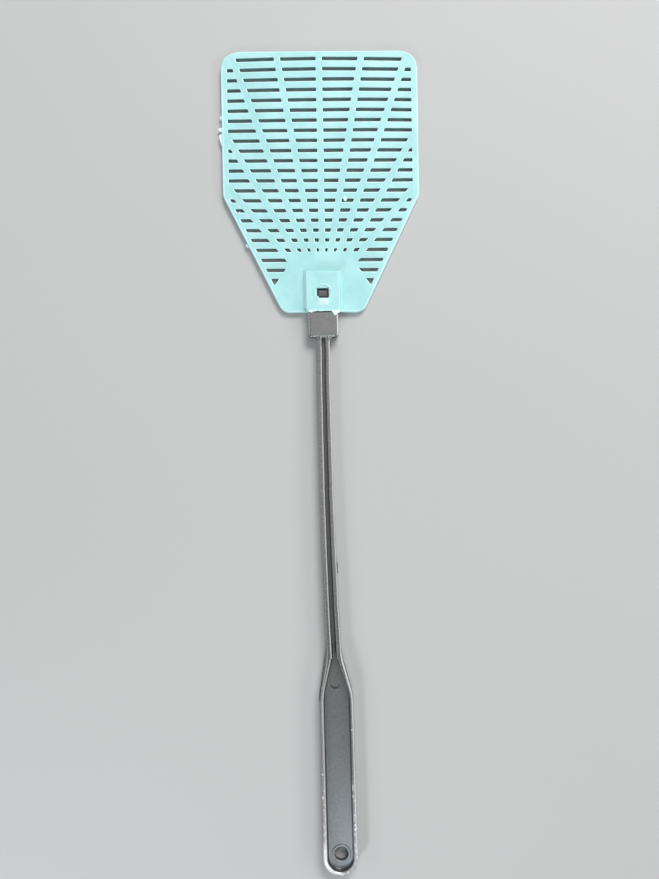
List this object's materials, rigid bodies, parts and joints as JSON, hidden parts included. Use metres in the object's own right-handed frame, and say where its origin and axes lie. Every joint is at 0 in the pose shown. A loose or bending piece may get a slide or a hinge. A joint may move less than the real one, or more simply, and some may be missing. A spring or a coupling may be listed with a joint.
{
  "type": "fly swatter",
  "caption": "Flat flexible slotted paddle with fan-shaped ribs, pushed onto a long slim ribbed plastic handle with a hollow-backed grip and a hanging hole.",
  "frame": {"origin": "centre of the bounding box in plan, at the height of the back faces that lie on a table", "axes": "+Y runs along the handle from the grip to the far edge of the head, +X is to the right seen from the front, +Z points out of the front face"},
  "size_m": [0.105, 0.44, 0.0062],
  "materials": {
    "head_plastic": "satin turquoise, soft moulded plastic",
    "handle_plastic": "satin black, stiff moulded plastic"
  },
  "bodies": {
    "handle": {"handle": "handle_plastic"},
    "head": {"head": "head_plastic"}
  },
  "joints": [
    {"name": "head_pull_off", "type": "slide", "parent": "handle", "child": "head", "axis": [0, 1, 0], "range_m": [0, 0.03]}
  ]
}
